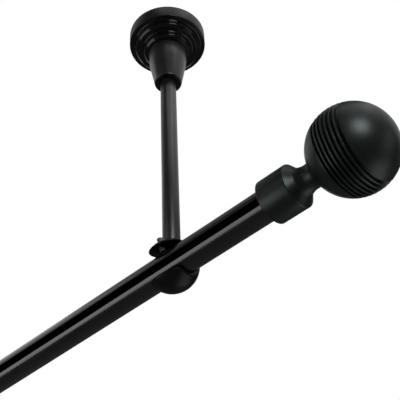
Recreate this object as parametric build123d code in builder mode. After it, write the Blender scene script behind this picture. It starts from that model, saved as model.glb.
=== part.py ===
import os
from math import cos, radians, sin, sqrt

from build123d import *

# Curtain rod with an inner glider track, hung from the ceiling on one bracket. Sizes in millimetres.
# The ceiling is z = 0, the stem hangs down along z, and the rod runs along x to the finial at +x.

# Places along the rod and down from the ceiling
drop = 235.6  # ceiling to the rod's axis
rod_left = 205.0  # stem to the rod's capped end
finial_reach = 84.0  # stem to the finial's open end

# Rod
rod_d = 20.8
rod_wall = 1.2
slot_w = 5.0
slot_tilt = 20.0  # how far below level the slot and the carrier's mouth face, in degrees

# Ceiling plate and its stud
plate_d = 46.0
plate_t = 3.0
plate_hole_d = 4.5
plate_hole_pcd = 32.0
plate_hole_count = 2
stud_d = 8.0
stud_grip = 12.0  # stud inside the socket
stud_relief = 2.0  # thread beyond the stud's end
stud_chamfer = 0.7

# Rosette: a rim and two turned steps, each a flat ring, a cove, a short wall and a bevel
rosette_d = 60.0
rosette_wall = 2.0
rim_h = 11.3
rim_bevel = 0.5
step_count = 2
step_in = 6.6  # radius lost in one step
step_drop = 5.3
step_face = 3.1
step_cove = 1.2
step_lean = 0.5
step_wall = 2.3

# Tapered socket
socket_base_d = 29.2
socket_end_d = 20.5
socket_l = 35.7
socket_land = 10.9  # straight length above the taper
socket_blend = 60.0
socket_round = 1.5
socket_chamfer = 0.8
socket_screw_rise = 8.0  # grub screw above the socket's end

# Stem and its spigot
stem_d = 12.0
stem_wall = 1.5
stem_grip = 16.0  # stem inside the socket
stem_land = 0.3  # flat on the ball beyond the stem's edge
spigot_l = 14.0
spigot_d = 6.0
spigot_thread = 3.0  # thread inside the ball

# Carrier ball and its clamp screw
carrier_wall = 7.5  # metal around the rod's seat
carrier_lift = 2.3  # room to lift the rod over the lip
carrier_lip = 2.4  # height of the lip that keeps the rod in its seat
carrier_w = 24.8  # across the ball's flat sides
carrier_face = 2.6  # flat ring around the seat on each side
carrier_bevel = 2.4  # bevel around each side, along the rod
carrier_bevel_round = 1.0
carrier_edge = 0.4
clamp_offset = 4.5  # screw ahead of the rod's axis
clamp_d = 4.0
clamp_l = 9.5

# Grub screws
grub_d = 4.0
grub_sink = 0.3  # screw's outer end below the surface
screw_chamfer = 0.35
key_af = 2.0
key_depth = 1.8

# Finial, measured from its open end
collar_d = 29.4
collar_l = 20.5
collar_edge = 0.6
shoulder_l = 3.9
shoulder_d = 19.8
neck_d = 16.2
neck_gap = 31.4  # ball's centre to the narrowest place
root_d = 17.8  # where the neck runs into the ball
root_round = 3.0
ball_d = 55.4
ball_offset = 61.5  # open end to the ball's centre
groove_first = -9.1  # first groove from the ball's centre
groove_pitch = 2.86
groove_count = 7
groove_w = 1.5
groove_depth = 1.3
groove_last_w = 2.0  # the groove beside the smooth cap
rod_grip = 16.0  # rod inside the collar

# End cap
cap_t = 2.0
cap_plug_l = 10.0
cap_round = 0.8

# Clearances on the radius
screw_fit = 0.05
tube_fit = 0.1

# Places worked out from the sizes above
rod_r = rod_d / 2
rod_bore_r = rod_r - rod_wall
stem_r = stem_d / 2
stem_bore_r = stem_r - stem_wall
rosette_r = rosette_d / 2
rosette_h = rim_h + step_count * step_drop
socket_end_z = -rosette_h - socket_l
stem_top_z = socket_end_z + stem_grip
seat_r = rod_r + tube_fit
jaw_u = seat_r + carrier_lift
lip_u = carrier_lip - rod_r
carrier_r = seat_r + carrier_wall
side_x = carrier_w / 2
side_r = seat_r + carrier_face
bevel_x = side_x - carrier_bevel
bevel_r = sqrt(carrier_r**2 - bevel_x**2)
stem_foot_h = sqrt(carrier_r**2 - (stem_r + stem_land) ** 2)
stem_foot_z = stem_foot_h - drop
slot_dir = Vector(0, -cos(radians(slot_tilt)), -sin(radians(slot_tilt)))
jaw_dir = Vector(0, -sin(radians(slot_tilt)), cos(radians(slot_tilt)))
rod_centre = Vector(0, 0, -drop)

# Section of the rod: first axis out through the slot, second axis up towards the jaw
rod_plane = Plane(origin=rod_centre, x_dir=slot_dir, z_dir=(-1, 0, 0))


def grub_screw(tip, direction, diameter, length):
    """Headless screw from its tip outwards, with a hexagon socket in its outer end."""
    screw_plane = Plane(origin=tip, z_dir=direction)
    with BuildPart(screw_plane) as screw:
        Cylinder(diameter / 2, length, align=(Align.CENTER, Align.CENTER, Align.MIN))
        chamfer(screw.edges().filter_by(GeomType.CIRCLE), screw_chamfer)
        with BuildSketch(screw_plane.offset(length)):
            RegularPolygon(key_af / 2, side_count=6, major_radius=False)
        extrude(amount=-key_depth, mode=Mode.SUBTRACT)
    return screw


def is_mouth_rim(edge):
    """True for an edge of the carrier's mouth where its jaw or its lip comes out of the ball."""
    heights = [(edge @ place - rod_centre).dot(jaw_dir) for place in (0, 0.5, 1)]
    on_jaw = all(abs(height - jaw_u) < tube_fit for height in heights)
    on_lip = all(abs(height - lip_u) < tube_fit for height in heights)
    ends_inside = edge.geom_type == GeomType.LINE and abs((edge % 0).X) > abs((edge % 0).Y)
    return (on_jaw or on_lip) and not ends_inside


# Round steel plate that is screwed to the ceiling inside the rosette
with BuildPart() as ceiling_plate:
    with BuildSketch(Plane.XY.offset(-plate_t)):
        Circle(plate_d / 2)
        Circle(stud_d / 2 + screw_fit, mode=Mode.SUBTRACT)
        with PolarLocations(plate_hole_pcd / 2, plate_hole_count):
            Circle(plate_hole_d / 2, mode=Mode.SUBTRACT)
    extrude(amount=plate_t)

# Stud pressed into the plate, which the socket screws onto
with BuildPart() as plate_stud:
    with BuildSketch(Plane.XY):
        Circle(stud_d / 2)
    extrude(amount=-(rosette_h + stud_grip))
    chamfer(plate_stud.edges().group_by(Axis.Z)[0], stud_chamfer)

# Turned cover with two steps, hollow over the plate
with BuildPart() as rosette:
    with BuildSketch(Plane.XZ):
        with BuildLine():
            ring_start = (rosette_r - rim_bevel, -rim_h)
            Polyline((0, 0), (rosette_r, 0), (rosette_r, rim_bevel - rim_h), ring_start)
            for step in range(step_count):
                step_r = rosette_r - step * step_in
                step_z = -rim_h - step * step_drop
                cove_start = (step_r - step_face, step_z)
                cove_end = (step_r - step_face - step_cove, step_z - step_cove)
                wall_end = (cove_end[0] - step_lean, cove_end[1] - step_wall)
                bevel_end = (step_r - step_in, step_z - step_drop)
                Line(ring_start, cove_start)
                RadiusArc(cove_start, cove_end, -step_cove)
                Polyline(cove_end, wall_end, bevel_end)
                ring_start = bevel_end
            Polyline(ring_start, (0, -rosette_h), (0, 0))
        make_face()
    revolve(axis=Axis.Z)
    for step in range(step_count + 1):
        hollow_r = rosette_r - step * step_in - rosette_wall
        hollow_h = rim_h + step * step_drop - rosette_wall
        Cylinder(hollow_r, hollow_h, align=(Align.CENTER, Align.CENTER, Align.MAX), mode=Mode.SUBTRACT)
    Hole(stud_d / 2 + tube_fit)

# Tapered socket: threaded on the stud above, bored for the stem below
with BuildPart() as cone_socket:
    with BuildSketch(Plane.XZ) as socket_section:
        with BuildLine():
            Polyline(
                (0, -rosette_h),
                (socket_base_d / 2, -rosette_h),
                (socket_base_d / 2, -rosette_h - socket_land),
                (socket_end_d / 2, socket_end_z),
                (0, socket_end_z),
                close=True,
            )
        make_face()
        fillet(socket_section.vertices().group_by(Axis.X)[-1].sort_by(Axis.Y)[0], socket_blend)
        fillet(socket_section.vertices().group_by(Axis.Y)[0].sort_by(Axis.X)[-1], socket_round)
    revolve(axis=Axis.Z)
    with Locations((0, 0, -rosette_h)):
        Cylinder(
            stud_d / 2 + screw_fit,
            stud_grip + stud_relief,
            align=(Align.CENTER, Align.CENTER, Align.MAX),
            mode=Mode.SUBTRACT,
        )
    with Locations((0, 0, socket_end_z)):
        Cylinder(
            stem_r + tube_fit,
            stem_grip,
            align=(Align.CENTER, Align.CENTER, Align.MIN),
            mode=Mode.SUBTRACT,
        )
    mouth_edge = cone_socket.edges().filter_by(GeomType.CIRCLE).group_by(Axis.Z)[0].sort_by(SortBy.RADIUS)[0]
    chamfer(mouth_edge, socket_chamfer)
    with Locations(Plane(origin=(0, 0, socket_end_z + socket_screw_rise), z_dir=(0, 1, 0))):
        Cylinder(
            grub_d / 2 + screw_fit,
            socket_base_d,
            align=(Align.CENTER, Align.CENTER, Align.MIN),
            mode=Mode.SUBTRACT,
        )

# Grub screw at the back of the socket, on the stem
socket_taper = (socket_base_d - socket_end_d) / 2 / (socket_l - socket_land)
socket_screw_r = socket_end_d / 2 + socket_taper * socket_screw_rise
socket_screw_tip = stem_r + screw_fit
socket_screw = grub_screw(
    (0, socket_screw_tip, socket_end_z + socket_screw_rise),
    (0, 1, 0),
    grub_d,
    socket_screw_r - grub_sink - socket_screw_tip,
)

# Stem tube
with BuildPart() as stem:
    with BuildSketch(Plane.XY.offset(stem_foot_z)):
        Circle(stem_r)
        Circle(stem_bore_r, mode=Mode.SUBTRACT)
    extrude(amount=stem_top_z - stem_foot_z)

# Plug in the stem's foot with the thread that the ball screws onto
with BuildPart() as stem_spigot:
    with BuildSketch(Plane.XY.offset(stem_foot_z)):
        Circle(stem_bore_r - screw_fit)
    extrude(amount=spigot_l)
    with BuildSketch(Plane.XY.offset(stem_foot_z)):
        Circle(spigot_d / 2)
    extrude(amount=-spigot_thread)

# Ball with flat, bevelled sides and a hooked channel: a round seat, room to lift the rod over the lip,
# and a mouth at the front
with BuildPart() as carrier:
    with BuildSketch(Plane(origin=rod_centre, x_dir=(1, 0, 0), z_dir=-jaw_dir)) as carrier_section:
        with BuildLine():
            Polyline(
                (-bevel_x, bevel_r),
                (-side_x, side_r),
                (-side_x, 0),
                (side_x, 0),
                (side_x, side_r),
                (bevel_x, bevel_r),
            )
            ThreePointArc((bevel_x, bevel_r), (0, carrier_r), (-bevel_x, bevel_r))
        make_face()
        fillet(carrier_section.vertices().filter_by_position(Axis.Y, seat_r, carrier_r), carrier_bevel_round)
    revolve(axis=Axis(rod_centre, (1, 0, 0)))
    with BuildSketch(Plane.XY.offset(stem_foot_z)):
        Circle(carrier_r)
    extrude(amount=carrier_r, mode=Mode.SUBTRACT)
    with BuildSketch(rod_plane):
        Circle(seat_r)
        with Locations((0, carrier_lift)):
            Circle(seat_r)
        with Locations((0, carrier_lift / 2)):
            Rectangle(2 * seat_r, carrier_lift)
        with Locations((0, lip_u)):
            Rectangle(2 * carrier_r, jaw_u - lip_u, align=(Align.MIN, Align.MIN))
    extrude(amount=carrier_r, both=True, mode=Mode.SUBTRACT)
    fillet(carrier.edges().filter_by(is_mouth_rim), carrier_edge)
    with Locations((0, 0, stem_foot_z)):
        Cylinder(
            spigot_d / 2 + screw_fit,
            stem_foot_h,
            align=(Align.CENTER, Align.CENTER, Align.MAX),
            mode=Mode.SUBTRACT,
        )
    with Locations(Plane(origin=rod_centre + slot_dir * clamp_offset, z_dir=jaw_dir)):
        Cylinder(
            clamp_d / 2 + screw_fit,
            2 * carrier_r,
            align=(Align.CENTER, Align.CENTER, Align.MIN),
            mode=Mode.SUBTRACT,
        )

# Clamp screw through the jaw, its tip on the rod
clamp_tip = sqrt(rod_r**2 - (clamp_offset - clamp_d / 2) ** 2) + screw_fit
clamp_screw = grub_screw(
    rod_centre + slot_dir * clamp_offset + jaw_dir * clamp_tip,
    jaw_dir,
    clamp_d,
    clamp_l,
)

# Slotted tube, open along its whole length
with BuildPart() as rod:
    with BuildSketch(rod_plane.offset(rod_left)):
        Circle(rod_r)
        Circle(rod_bore_r, mode=Mode.SUBTRACT)
        Rectangle(rod_d, slot_w, align=(Align.MIN, Align.CENTER), mode=Mode.SUBTRACT)
    extrude(amount=-(rod_left + finial_reach + rod_grip))

# Plain plug that closes the rod's other end
with BuildPart() as end_cap:
    with BuildSketch(rod_plane.offset(rod_left)):
        Circle(rod_r)
    extrude(amount=cap_t)
    fillet(end_cap.edges().filter_by(GeomType.CIRCLE).sort_by(Axis.X)[0], cap_round)
    with BuildSketch(rod_plane.offset(rod_left)):
        Circle(rod_bore_r - tube_fit)
    extrude(amount=-cap_plug_l)

# Finial: collar, neck and grooved ball, turned as one piece
finial_origin = Vector(finial_reach, 0, -drop)
finial_plane = Plane(origin=finial_origin, x_dir=(1, 0, 0), z_dir=(0, -1, 0))
finial_axis = Axis(finial_origin, (1, 0, 0))
ball_r = ball_d / 2
root_r = root_d / 2
root_at = ball_offset - sqrt(ball_r**2 - root_r**2)

with BuildPart() as finial:
    with BuildSketch(finial_plane) as finial_section:
        with BuildLine():
            Polyline(
                (ball_offset + ball_r, 0),
                (0, 0),
                (0, collar_d / 2 - collar_edge),
                (collar_edge, collar_d / 2),
                (collar_l, collar_d / 2),
                (collar_l + shoulder_l, shoulder_d / 2),
            )
            ThreePointArc(
                (collar_l + shoulder_l, shoulder_d / 2),
                (ball_offset - neck_gap, neck_d / 2),
                (root_at, root_r),
            )
            ThreePointArc((root_at, root_r), (ball_offset, ball_r), (ball_offset + ball_r, 0))
        make_face()
        root_point = finial_section.vertices().sort_by_distance((root_at, root_r))[0]
        fillet(root_point, root_round)
    revolve(axis=finial_axis)
    with BuildSketch(finial_plane):
        for groove in range(groove_count):
            groove_at = groove_first + groove * groove_pitch
            is_last = groove == groove_count - 1
            width = groove_last_w if is_last else groove_w
            with Locations((ball_offset + groove_at, sqrt(ball_r**2 - groove_at**2) - groove_depth + width / 2)):
                Circle(width / 2)
                Rectangle(width, groove_depth, align=(Align.CENTER, Align.MIN))
    revolve(axis=finial_axis, mode=Mode.SUBTRACT)
    with BuildSketch(Plane(origin=finial_origin, z_dir=(1, 0, 0))):
        Circle(rod_r + tube_fit)
    extrude(amount=rod_grip, mode=Mode.SUBTRACT)
    with Locations(Plane(origin=finial_origin + Vector(rod_grip / 2, 0, 0), z_dir=-slot_dir)):
        Cylinder(
            grub_d / 2 + screw_fit,
            collar_d,
            align=(Align.CENTER, Align.CENTER, Align.MIN),
            mode=Mode.SUBTRACT,
        )

# Grub screw at the back of the collar, on the rod
finial_screw_tip = rod_r + screw_fit
finial_screw = grub_screw(
    finial_origin + Vector(rod_grip / 2, 0, 0) - slot_dir * finial_screw_tip,
    -slot_dir,
    grub_d,
    collar_d / 2 - grub_sink - finial_screw_tip,
)

pieces = {
    "ceiling_plate": ceiling_plate,
    "plate_stud": plate_stud,
    "rosette": rosette,
    "cone_socket": cone_socket,
    "socket_screw": socket_screw,
    "stem": stem,
    "stem_spigot": stem_spigot,
    "carrier": carrier,
    "clamp_screw": clamp_screw,
    "rod": rod,
    "end_cap": end_cap,
    "finial": finial,
    "finial_screw": finial_screw,
}

os.makedirs("parts", exist_ok=True)
for label, piece in pieces.items():
    piece.part.label = label
    export_step(piece.part, f"parts/{label}.step")
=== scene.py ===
from math import acos, asin, atan2, cos, pi, radians, sin, sqrt, tan, tau

import bmesh
import bpy
from mathutils import Matrix, Quaternion, Vector


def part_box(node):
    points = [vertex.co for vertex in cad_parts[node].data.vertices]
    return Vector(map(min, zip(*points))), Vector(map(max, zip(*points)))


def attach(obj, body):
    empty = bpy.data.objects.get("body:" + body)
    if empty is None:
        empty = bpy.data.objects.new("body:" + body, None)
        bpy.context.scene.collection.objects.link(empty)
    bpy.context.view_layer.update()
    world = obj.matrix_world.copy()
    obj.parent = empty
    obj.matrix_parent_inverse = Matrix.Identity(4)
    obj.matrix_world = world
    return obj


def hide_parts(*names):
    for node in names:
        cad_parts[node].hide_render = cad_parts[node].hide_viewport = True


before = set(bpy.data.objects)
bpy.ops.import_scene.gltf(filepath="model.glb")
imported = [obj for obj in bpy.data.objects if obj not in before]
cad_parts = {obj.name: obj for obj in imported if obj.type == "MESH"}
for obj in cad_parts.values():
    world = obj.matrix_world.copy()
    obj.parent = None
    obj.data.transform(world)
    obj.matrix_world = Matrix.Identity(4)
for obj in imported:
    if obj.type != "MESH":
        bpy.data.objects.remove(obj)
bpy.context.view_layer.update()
scene = bpy.context.scene
mm = 0.001

# Ceiling plate and stud: a round steel plate that two screws hold to the ceiling, with a threaded stud
# pressed into its middle. Both are zinc-plated and lie hidden inside the rosette.


def coat_texture():
    """Fine grain of a coat that was sprayed on or plated, and slow clouds of slightly uneven thickness."""
    group = bpy.data.node_groups.new("coat_texture", "ShaderNodeTree")
    group.interface.new_socket("Grains per Metre", in_out="INPUT", socket_type="NodeSocketFloat")
    group.interface.new_socket("Clouds per Metre", in_out="INPUT", socket_type="NodeSocketFloat")
    group.interface.new_socket("Grain", in_out="OUTPUT", socket_type="NodeSocketFloat")
    group.interface.new_socket("Cloud", in_out="OUTPUT", socket_type="NodeSocketFloat")
    nodes, links = group.nodes, group.links
    entry = nodes.new("NodeGroupInput")
    leave = nodes.new("NodeGroupOutput")
    place = nodes.new("ShaderNodeTexCoord")
    grain = nodes.new("ShaderNodeTexNoise")
    grain.inputs["Detail"].default_value = 2.0
    cloud = nodes.new("ShaderNodeTexNoise")
    cloud.inputs["Detail"].default_value = 4.0
    links.new(place.outputs["Object"], grain.inputs["Vector"])
    links.new(place.outputs["Object"], cloud.inputs["Vector"])
    links.new(entry.outputs["Grains per Metre"], grain.inputs["Scale"])
    links.new(entry.outputs["Clouds per Metre"], cloud.inputs["Scale"])
    links.new(grain.outputs["Fac"], leave.inputs["Grain"])
    links.new(cloud.outputs["Fac"], leave.inputs["Cloud"])
    return group


coat = coat_texture()


def coated(
    name, thin, thick, gloss, grains, depth, specular=0.5, tint=(1.0, 1.0, 1.0), metallic=0.0, clouds=60.0
):
    """Coat on metal: its colour runs from thin to thick, its roughness over the two values of gloss."""
    material = bpy.data.materials.new(name)
    material.use_nodes = True
    nodes, links = material.node_tree.nodes, material.node_tree.links
    shader = nodes["Principled BSDF"]
    shader.inputs["Metallic"].default_value = metallic
    shader.inputs["Specular IOR Level"].default_value = specular
    shader.inputs["Specular Tint"].default_value = (*tint, 1.0)
    texture = nodes.new("ShaderNodeGroup")
    texture.node_tree = coat
    texture.inputs["Grains per Metre"].default_value = grains
    texture.inputs["Clouds per Metre"].default_value = clouds
    colour = nodes.new("ShaderNodeMix")
    colour.data_type = "RGBA"
    colour.inputs["A"].default_value = (*thin, 1.0)
    colour.inputs["B"].default_value = (*thick, 1.0)
    rough = nodes.new("ShaderNodeMapRange")
    rough.inputs["From Min"].default_value = 0.3
    rough.inputs["From Max"].default_value = 0.7
    rough.inputs["To Min"].default_value = gloss[0]
    rough.inputs["To Max"].default_value = gloss[1]
    bump = nodes.new("ShaderNodeBump")
    bump.inputs["Strength"].default_value = 1.0
    bump.inputs["Distance"].default_value = depth
    links.new(texture.outputs["Cloud"], colour.inputs["Factor"])
    links.new(colour.outputs["Result"], shader.inputs["Base Color"])
    links.new(texture.outputs["Cloud"], rough.inputs["Value"])
    links.new(rough.outputs["Result"], shader.inputs["Roughness"])
    links.new(texture.outputs["Grain"], bump.inputs["Height"])
    links.new(bump.outputs["Normal"], shader.inputs["Normal"])
    return material


def finish_node(node, material):
    """Give a solid of the frame its finish."""
    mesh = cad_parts[node].data
    mesh.materials.clear()
    mesh.materials.append(material)


zinc = coated(
    "zinc_plate", (0.5, 0.51, 0.53), (0.66, 0.67, 0.69), (0.24, 0.42), 2500.0, 0.01 * mm,
    metallic=1.0, clouds=180.0,
)
finish_node("ceiling_plate", zinc)
finish_node("plate_stud", zinc)

# Rosette: a stepped round cover, turned from metal and sprayed black, glossy on the steps and satin round the
# rim; the steps' coat is also darker as painted shade and the rim's lighter as painted light. It is hollow,
# slides up over the plate and is pressed to the ceiling by the socket below it.


def turned(start, moves):
    """Lathe-turned shape. The profile starts at a (radius, height) point and goes on by lines to further
    points, or by arcs, each given as (centre, angle, steps); then it is spun once round the z axis."""
    shape = bmesh.new()
    tip = shape.verts.new((start[0], 0, start[1]))
    for move in moves:
        if len(move) == 2:
            tip = bmesh.ops.extrude_vert_indiv(shape, verts=[tip])["verts"][0]
            tip.co = (move[0], 0, move[1])
        else:
            (centre_r, centre_h), angle, arc_steps = move
            arc = bmesh.ops.spin(
                shape,
                geom=[tip],
                cent=(centre_r, 0, centre_h),
                axis=(0, 1, 0),
                angle=angle,
                steps=arc_steps,
                use_merge=False,
            )
            tip = [end for end in arc["geom_last"] if isinstance(end, bmesh.types.BMVert)][0]
    bmesh.ops.spin(
        shape,
        geom=shape.verts[:] + shape.edges[:],
        cent=(0, 0, 0),
        axis=(0, 0, 1),
        angle=tau,
        steps=160,
        use_merge=True,
    )
    bmesh.ops.remove_doubles(shape, verts=shape.verts, dist=0.001 * mm)
    bmesh.ops.recalc_face_normals(shape, faces=shape.faces)
    return shape


def round_edges(shape, width, segments, sharper_than, chosen=lambda edge: True):
    """Round off the edges where two faces meet at more than an angle, all of them or the chosen ones."""
    edges = [
        edge
        for edge in shape.edges
        if len(edge.link_faces) == 2 and edge.calc_face_angle() > radians(sharper_than) and chosen(edge)
    ]
    bmesh.ops.bevel(
        shape,
        geom=edges,
        offset=width,
        offset_type="OFFSET",
        affect="EDGES",
        segments=segments,
        profile=0.5,
        material=-1,
        clamp_overlap=True,
    )


def set_in_place(shape, name, node, material, place=Matrix.Identity(4)):
    """Turn a finished shape into a piece that stands for a solid of the frame."""
    shape.transform(place)
    mesh = bpy.data.meshes.new(name)
    shape.to_mesh(mesh)
    shape.free()
    mesh.shade_smooth()
    mesh.set_sharp_from_angle(angle=radians(32))
    mesh.materials.append(material)
    piece = bpy.data.objects.new(name, mesh)
    scene.collection.objects.link(piece)
    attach(piece, "root")
    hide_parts(node)
    return piece


rosette_low, rosette_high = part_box("rosette")
rosette_r = rosette_high.x
rosette_end = rosette_low.z
rosette_wall = 2.0 * mm
rim_h = 11.3 * mm
step_count = 2
step_in = 6.6 * mm
step_drop = (-rosette_end - rim_h) / step_count
step_face = 3.1 * mm
step_cove = 1.2 * mm
step_lean = 0.5 * mm
step_wall = 2.3 * mm
stud_hole_r = 4.1 * mm
rosette_round = 0.3 * mm

rosette_moves = [(rosette_r, 0), (rosette_r, -rim_h)]
for step in range(step_count):
    face_end = rosette_r - step * step_in - step_face
    face_z = -rim_h - step * step_drop
    wall_top = face_end - step_cove
    rosette_moves += [
        (face_end, face_z),
        ((face_end, face_z - step_cove), -pi / 2, 6),
        (wall_top - step_lean, face_z - step_cove - step_wall),
        (rosette_r - (step + 1) * step_in, face_z - step_drop),
    ]
rosette_moves += [(stud_hole_r, rosette_end), (stud_hole_r, rosette_end + rosette_wall)]
for step in range(step_count, -1, -1):
    hollow_r = rosette_r - step * step_in - rosette_wall
    hollow_z = rosette_wall - rim_h - step * step_drop
    rosette_moves += [(hollow_r, hollow_z), (hollow_r, hollow_z + step_drop if step else 0)]
rosette_moves.append((rosette_r, 0))

# Darkest, least reflective coat: glossy, and darkened as painted shade on faces that look down (rosette steps,
# socket end).
gloss_black_shade = coated(
    "gloss_black_painted_shade", (0.0012, 0.0012, 0.0013), (0.0025, 0.0025, 0.0027), (0.12, 0.17), 900.0,
    0.003 * mm, 0.14,
)
# Satin coat for the rim wall: the satin is real, its lighter tone is painted light.
rim_satin_lit = coated(
    "rim_satin_painted_light", (0.004, 0.004, 0.0042), (0.0065, 0.0065, 0.0067), (0.32, 0.4), 1500.0, 0.012 * mm, 0.22
)
rosette_shape = turned(rosette_moves[-1], rosette_moves)
round_edges(rosette_shape, rosette_round, 3, 20)
# The rim wall takes the lighter satin coat (painted light); the steps keep the darker one (painted shade).
for face in rosette_shape.faces:
    at = face.calc_center_median()
    if at.xy.length > rosette_r - rosette_round and at.z > 0.2 * mm - rim_h:
        face.material_index = 1
rosette_piece = set_in_place(rosette_shape, "rosette_cover", "rosette", gloss_black_shade)
rosette_piece.data.materials.append(rim_satin_lit)

# Socket: a tapered steel bush under the rosette, turned and coated satin black; its flat end gets the darker
# gloss coat as painted shade. It screws up onto the stud and holds the stem in its bore with a grub screw at
# the back.
socket_low, socket_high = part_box("cone_socket")
socket_r = socket_high.x
socket_top, socket_end = socket_high.z, socket_low.z
socket_end_r = 10.25 * mm
socket_land = 10.9 * mm
socket_blend = 60.0 * mm
socket_round = 0.9 * mm
bore_round = 0.8 * mm
stem_low, stem_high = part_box("stem")
stem_r = stem_high.x
stem_play = 0.1 * mm
taper_start = socket_top - socket_land
taper = atan2(socket_r - socket_end_r, taper_start - socket_end)
blend_start = taper_start + socket_blend * tan(taper / 2)
stud_bore_r = 4.05 * mm
stud_bore_l = 14.0 * mm
stud_bore_end = socket_top - stud_bore_l
stem_bore_r = stem_r + stem_play

satin_black = coated(
    "satin_black_paint", (0.0045, 0.0045, 0.0047), (0.007, 0.007, 0.0073), (0.3, 0.38), 1500.0, 0.012 * mm, 0.5
)
socket_shape = turned(
    (0, stud_bore_end),
    [
        (stud_bore_r, stud_bore_end),
        (stud_bore_r, socket_top),
        (socket_r, socket_top),
        (socket_r, blend_start),
        ((socket_r - socket_blend, blend_start), taper, 12),
        (socket_end_r, socket_end),
        (stem_bore_r, socket_end),
        (stem_bore_r, stem_high.z),
        (0, stem_high.z),
    ],
)


def near_ring(radius, height):
    """Choose the edges of one turned ring."""
    return lambda edge: all(
        abs(end.co.xy.length - radius) + abs(end.co.z - height) < 0.01 * mm for end in edge.verts
    )


round_edges(socket_shape, socket_round, 5, 20, near_ring(socket_end_r, socket_end))
round_edges(socket_shape, bore_round, 3, 20, near_ring(stem_bore_r, socket_end))
# The flat end takes the darker gloss coat: painted shade on the face that looks down.
for face in socket_shape.faces:
    if abs(face.calc_center_median().z - socket_end) < 0.3 * mm:
        face.material_index = 1
socket_piece = set_in_place(socket_shape, "stem_socket", "cone_socket", satin_black)
socket_piece.data.materials.append(gloss_black_shade)


def drill(piece, start, direction, radius, depth):
    """Drill a round hole into a piece."""
    bit_shape = bmesh.new()
    turn = Vector(direction).to_track_quat("Z", "Y").to_matrix().to_4x4()
    bmesh.ops.create_cone(
        bit_shape,
        cap_ends=True,
        segments=48,
        radius1=radius,
        radius2=radius,
        depth=depth,
        matrix=Matrix.Translation(start) @ turn @ Matrix.Translation((0, 0, depth / 2)),
    )
    bit_mesh = bpy.data.meshes.new("drill_bit")
    bit_shape.to_mesh(bit_mesh)
    bit_shape.free()
    bit = bpy.data.objects.new("drill_bit", bit_mesh)
    scene.collection.objects.link(bit)
    cut = piece.modifiers.new("drilled", "BOOLEAN")
    cut.operation = "DIFFERENCE"
    cut.solver = "EXACT"
    cut.object = bit
    graph = bpy.context.evaluated_depsgraph_get()
    drilled = bpy.data.meshes.new_from_object(piece.evaluated_get(graph))
    piece.modifiers.clear()
    piece.data = drilled
    drilled.set_sharp_from_angle(angle=radians(32))
    bpy.data.objects.remove(bit)


screw_play = 0.05 * mm
screw_low, screw_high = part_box("socket_screw")
screw_hole_r = (screw_high.x - screw_low.x) / 2 + screw_play
screw_height = (screw_high.z + screw_low.z) / 2
drill(socket_piece, (0, 0, screw_height), (0, 1, 0), screw_hole_r, 2 * socket_r)

screw_black = coated(
    "blackened_screw", (0.02, 0.02, 0.022), (0.035, 0.035, 0.038), (0.28, 0.4), 3000.0, 0.01 * mm
)
finish_node("socket_screw", screw_black)

# Stem: a round steel tube, coated like the socket. Its foot stands on the carrier ball, and a zinc-plated
# plug inside the foot has the thread that the ball screws onto.
stem_wall = 1.5 * mm
stem_round = 0.2 * mm
stem_shape = turned(
    (stem_r, stem_low.z),
    [
        (stem_r, stem_high.z),
        (stem_r - stem_wall, stem_high.z),
        (stem_r - stem_wall, stem_low.z),
        (stem_r, stem_low.z),
    ],
)
round_edges(stem_shape, stem_round, 2, 20)
set_in_place(stem_shape, "stem_tube", "stem", satin_black)
finish_node("stem_spigot", zinc)

# Carrier: a cast ball with a hooked channel, sprayed black. The rod is lifted over its lip into the seat,
# and the clamp screw through the upper jaw holds it there.
cast_black = coated(
    "cast_black_paint", (0.0015, 0.0015, 0.0016), (0.003, 0.003, 0.0032), (0.28, 0.36), 1300.0, 0.008 * mm, 0.08
)
finish_node("carrier", cast_black)
finish_node("clamp_screw", screw_black)

# Rod: a drawn steel tube, coated black, with a slot along its whole length for the gliders that run inside.
# A moulded plug closes the end away from the finial.
rod_low, rod_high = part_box("rod")
rod_r = (rod_high.z - rod_low.z) / 2
rod_axis_z = (rod_high.z + rod_low.z) / 2
rod_wall = 1.2 * mm
slot_w = 5.0 * mm
slot_round = 0.25 * mm
slot_tilt = radians(20)
rod_axis = Vector((1, 0, 0))
rod_start = Vector((rod_low.x, 0, rod_axis_z))
slot_dir = Vector((0, -cos(slot_tilt), -sin(slot_tilt)))

rod_shape = bmesh.new()
chain_ends = []
for radius in (rod_r, rod_r - rod_wall):
    half_slot = asin(slot_w / 2 / radius)
    edge_of_slot = rod_start + radius * (Quaternion(rod_axis, half_slot) @ slot_dir)
    corner = rod_shape.verts.new(edge_of_slot)
    wall = bmesh.ops.spin(
        rod_shape,
        geom=[corner],
        cent=rod_start,
        axis=rod_axis,
        angle=tau - 2 * half_slot,
        steps=160,
        use_merge=False,
    )
    last = [end for end in wall["geom_last"] if isinstance(end, bmesh.types.BMVert)][0]
    chain_ends.append((corner, last))
for outer, inner in zip(*chain_ends):
    rod_shape.edges.new((outer, inner))
section = bmesh.ops.edgeloop_fill(rod_shape, edges=rod_shape.edges)["faces"]
drawn = bmesh.ops.extrude_face_region(rod_shape, geom=section)
drawn_verts = [end for end in drawn["geom"] if isinstance(end, bmesh.types.BMVert)]
bmesh.ops.translate(rod_shape, verts=drawn_verts, vec=(rod_high.x - rod_low.x, 0, 0))
bmesh.ops.recalc_face_normals(rod_shape, faces=rod_shape.faces)
round_edges(
    rod_shape, slot_round, 3, 50, lambda edge: abs(edge.verts[0].co.x - edge.verts[1].co.x) > 10 * mm
)

rod_black = coated(
    "rod_black_paint", (0.0015, 0.0015, 0.0016), (0.003, 0.003, 0.0032), (0.17, 0.23), 1200.0, 0.006 * mm, 0.3
)
set_in_place(rod_shape, "rod_tube", "rod", rod_black)

cap_black = coated(
    "cap_black_plastic", (0.01, 0.01, 0.0105), (0.016, 0.016, 0.017), (0.42, 0.52), 2500.0, 0.02 * mm
)
finish_node("end_cap", cap_black)

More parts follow.
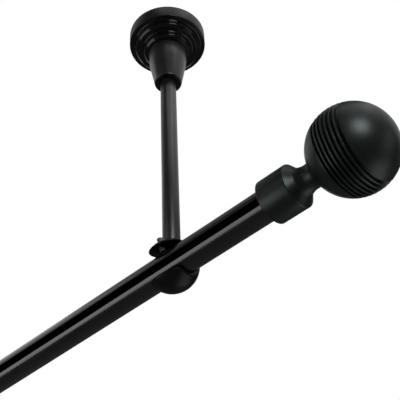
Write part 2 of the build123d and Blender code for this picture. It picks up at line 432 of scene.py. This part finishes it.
# Finial: collar, neck and grooved ball, turned as one piece and powder-coated matte black. The collar slides
# over the rod's end and a grub screw at the back holds it.
finial_low, finial_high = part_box("finial")
ball_r = (finial_high.z - finial_low.z) / 2
ball_at = finial_high.x - finial_low.x - ball_r
collar_r = 14.7 * mm
collar_l = 20.5 * mm
collar_play = 0.1 * mm
collar_round = 0.6 * mm
shoulder_l = 3.9 * mm
shoulder_r = 9.9 * mm
shoulder_round = 0.5 * mm
neck_r = 8.1 * mm
neck_gap = 31.4 * mm
neck_at = ball_at - neck_gap
root_r = 8.9 * mm
root_round = 1.6 * mm
root_at = ball_at - sqrt(ball_r**2 - root_r**2)
bore_r = rod_r + collar_play
bore_l = rod_high.x - finial_low.x
groove_first = -9.1 * mm
groove_pitch = 2.86 * mm
groove_count = 7
groove_w = 1.7 * mm
groove_last_w = 2.0 * mm
groove_depth = 2.4 * mm
lip_round = 0.25 * mm


def arc_through(first, middle, last, steps):
    """The arc from first to last over middle, as a move of a turned profile."""
    a, b, c = (Vector((point[0], 0, point[1])) for point in (first, middle, last))
    chord, other = b - a, c - a
    normal = chord.cross(other)
    centre = a + (chord.length_squared * other.cross(normal) - other.length_squared * chord.cross(normal)) * (
        1 / (2 * normal.length_squared)
    )
    begin, end = a - centre, c - centre
    angle = begin.angle(end)
    turn = begin.cross(end).y
    return ((centre.x, centre.z), angle if turn > 0 else -angle, steps)


finial_moves = [
    (bore_r, bore_l),
    (bore_r, 0),
    (collar_r, 0),
    (collar_r, collar_l),
    (shoulder_r, collar_l + shoulder_l),
    arc_through((shoulder_r, collar_l + shoulder_l), (neck_r, neck_at), (root_r, root_at), 24),
]
ball_centre = (0, ball_at)
reached = asin(root_r / ball_r)
for groove in range(groove_count):
    width = groove_last_w if groove == groove_count - 1 else groove_w
    middle = groove_first + groove * groove_pitch
    near_side, far_side = middle - width / 2, middle + width / 2
    floor_r = sqrt(ball_r**2 - middle**2) - groove_depth + width / 2
    met = acos(-near_side / ball_r)
    finial_moves += [
        (ball_centre, reached - met, 28 if groove == 0 else 3),
        (floor_r, ball_at + near_side),
        ((floor_r, ball_at + middle), pi, 8),
        (sqrt(ball_r**2 - far_side**2), ball_at + far_side),
    ]
    reached = acos(-far_side / ball_r)
finial_moves.append((ball_centre, reached - pi, 40))

matte_black = coated(
    "matte_black_powder", (0.0018, 0.0022, 0.002), (0.0034, 0.004, 0.0037), (0.36, 0.43), 1400.0,
    0.025 * mm, 0.2, tint=(0.86, 1.0, 0.99),
)
finial_place = Matrix.Translation((finial_low.x, 0, rod_axis_z)) @ Matrix.Rotation(pi / 2, 4, "Y")
finial_shape = turned((0, bore_l), finial_moves)
round_edges(finial_shape, collar_round, 4, 20, near_ring(collar_r, 0))
round_edges(finial_shape, shoulder_round, 4, 20, near_ring(collar_r, collar_l))
round_edges(finial_shape, root_round, 6, 20, near_ring(root_r, root_at))


def at_groove_lip(edge):
    """Choose the edges where a groove breaks through the ball."""
    return all(abs((end.co - Vector((0, 0, ball_at))).length - ball_r) < 0.01 * mm for end in edge.verts)


round_edges(finial_shape, lip_round, 3, 40, at_groove_lip)
finial_piece = set_in_place(
    finial_shape, "finial_ball", "finial", matte_black, finial_place
)
grub_low, grub_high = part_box("finial_screw")
grub_middle = (grub_low + grub_high) / 2
grub_r = (grub_high.x - grub_low.x) / 2 + screw_play
drill(finial_piece, (grub_middle.x, 0, rod_axis_z), -slot_dir, grub_r, 2 * collar_r)
finish_node("finial_screw", screw_black)

# Camera: below and in front of the rod, looking up at the rosette, turned slightly about its own axis.
view_azimuth = radians(42.2)
view_elevation = radians(-42.2)
view_roll = radians(2.81)
focal_px, picture_px, sensor_mm = 946.0, 400.0, 36.0
camera_data = bpy.data.cameras.new("photo_camera")
camera_data.sensor_width = sensor_mm
camera_data.lens = focal_px / picture_px * sensor_mm
camera = bpy.data.objects.new("photo_camera", camera_data)
back = Vector(
    (
        sin(view_azimuth) * cos(view_elevation),
        -cos(view_azimuth) * cos(view_elevation),
        sin(view_elevation),
    )
)
camera.location = (0.3354, -0.3401, -0.6122)
camera.rotation_mode = "QUATERNION"
camera.rotation_quaternion = (-back).to_track_quat("-Z", "Y") @ Quaternion((0, 0, 1), -view_roll)
camera_data.clip_start = 0.01
camera_data.clip_end = 50.0
scene.collection.objects.link(camera)
scene.camera = camera

# Studio: a plain pale floor well below the hanging rod, a white surround, and large soft lamps.
floor_z = -2.2
floor_to_eye, floor_to_mirror = 0.5, 0.1
backdrop_edge, backdrop_full = radians(20), radians(17.5)
dim_wall = 0.06


def eye_and_mirror(nodes, links):
    """Two masks: what the camera sees, and what polished parts and glass show."""
    rays = nodes.new("ShaderNodeLightPath")
    mirrored = nodes.new("ShaderNodeMath")
    mirrored.operation = "MAXIMUM"
    links.new(rays.outputs["Is Glossy Ray"], mirrored.inputs[0])
    links.new(rays.outputs["Is Transmission Ray"], mirrored.inputs[1])
    return rays.outputs["Is Camera Ray"], mirrored.outputs["Value"]


floor_shape = bmesh.new()
floor_place = Matrix.Translation((0, 0, floor_z))
bmesh.ops.create_grid(floor_shape, x_segments=1, y_segments=1, size=40.0, matrix=floor_place)
floor_mesh = bpy.data.meshes.new("floor")
floor_shape.to_mesh(floor_mesh)
floor_shape.free()
floor = bpy.data.objects.new("floor", floor_mesh)
scene.collection.objects.link(floor)
floor_material = bpy.data.materials.new("floor_pale")
floor_material.use_nodes = True
nodes, links = floor_material.node_tree.nodes, floor_material.node_tree.links
floor_shader = nodes["Principled BSDF"]
floor_shader.inputs["Base Color"].default_value = (0.8, 0.8, 0.79, 1.0)
floor_shader.inputs["Roughness"].default_value = 0.9
floor_shader.inputs["Emission Color"].default_value = (1.0, 1.0, 0.99, 1.0)
eye, mirrored = eye_and_mirror(nodes, links)
dimmed = nodes.new("ShaderNodeMath")
dimmed.operation = "MULTIPLY"
dimmed.inputs[1].default_value = floor_to_mirror
paler = nodes.new("ShaderNodeMath")
paler.operation = "MULTIPLY_ADD"
paler.inputs[1].default_value = floor_to_eye
links.new(mirrored, dimmed.inputs[0])
links.new(eye, paler.inputs[0])
links.new(dimmed.outputs["Value"], paler.inputs[2])
links.new(paler.outputs["Value"], floor_shader.inputs["Emission Strength"])
floor_mesh.materials.append(floor_material)

# The surround is white to the eye. Polished parts mirror the lit backdrop behind the rod, and dim walls
# everywhere else.
world = bpy.data.worlds.new("studio")
scene.world = world
world.use_nodes = True
nodes, links = world.node_tree.nodes, world.node_tree.links
nodes.clear()
surround = nodes.new("ShaderNodeOutputWorld")
glow = nodes.new("ShaderNodeBackground")
direction = nodes.new("ShaderNodeTexCoord")
towards = nodes.new("ShaderNodeVectorMath")
towards.operation = "DOT_PRODUCT"
towards.inputs[1].default_value = -back
fade = nodes.new("ShaderNodeMapRange")
fade.interpolation_type = "SMOOTHSTEP"
fade.inputs["From Min"].default_value = cos(backdrop_edge)
fade.inputs["From Max"].default_value = cos(backdrop_full)
eye, mirrored = eye_and_mirror(nodes, links)
backdrop = nodes.new("ShaderNodeMath")
backdrop.operation = "MULTIPLY"
white = nodes.new("ShaderNodeMath")
white.operation = "MAXIMUM"
shade = nodes.new("ShaderNodeMix")
shade.data_type = "RGBA"
shade.inputs["A"].default_value = (dim_wall, dim_wall, dim_wall, 1.0)
shade.inputs["B"].default_value = (1.0, 1.0, 1.0, 1.0)
links.new(direction.outputs["Generated"], towards.inputs[0])
links.new(towards.outputs["Value"], fade.inputs["Value"])
links.new(mirrored, backdrop.inputs[0])
links.new(fade.outputs["Result"], backdrop.inputs[1])
links.new(eye, white.inputs[0])
links.new(backdrop.outputs["Value"], white.inputs[1])
links.new(white.outputs["Value"], shade.inputs["Factor"])
links.new(shade.outputs["Result"], glow.inputs["Color"])
links.new(glow.outputs["Background"], surround.inputs["Surface"])


def softbox(name, location, aim, width, height, brightness):
    """Large rectangular lamp that faces a point."""
    light = bpy.data.lights.new(name, "AREA")
    light.shape = "RECTANGLE"
    light.size = width
    light.size_y = height
    light.energy = brightness * pi * width * height
    lamp = bpy.data.objects.new(name, light)
    lamp.location = location
    lamp.rotation_mode = "QUATERNION"
    lamp.rotation_quaternion = (Vector(aim) - Vector(location)).to_track_quat("-Z", "Y")
    lamp.visible_camera = False
    scene.collection.objects.link(lamp)


ball_point = (0.146, 0, rod_axis_z)
carrier_point = (0, 0, rod_axis_z)
softbox("back_softbox", (0.67, 0.56, 0.84), (0, 0, -0.13), 2.2, 1.0, 0.75)
softbox("high_softbox", (0.59, -0.25, 0.91), ball_point, 1.1, 0.9, 1.1)
softbox("top_softbox", (-0.9, -0.25, 0.9), carrier_point, 1.2, 0.9, 0.35)
softbox("left_softbox", (-1.25, -0.2, 0.6), (0, 0, -0.05), 1.6, 0.8, 0.8)
softbox("left_front_softbox", (-0.3, -1.15, 0.05), (0, 0, -0.05), 0.9, 0.35, 1.5)
softbox("front_softbox", (-0.75, -0.78, -0.685), (-0.75, 0, rod_axis_z), 1.0, 0.585, 4.8)
softbox("key_softbox", (0.48, -0.25, -0.165), ball_point, 0.18, 0.18, 21.0)
softbox("right_softbox", (1.1, 0.5, -0.2), (0, 0, -0.1), 0.5, 0.8, 1.3)
softbox("fill_softbox", (0.3, 0.78, -0.98), carrier_point, 1.2, 0.8, 2.0)

scene.view_settings.view_transform = "Standard"
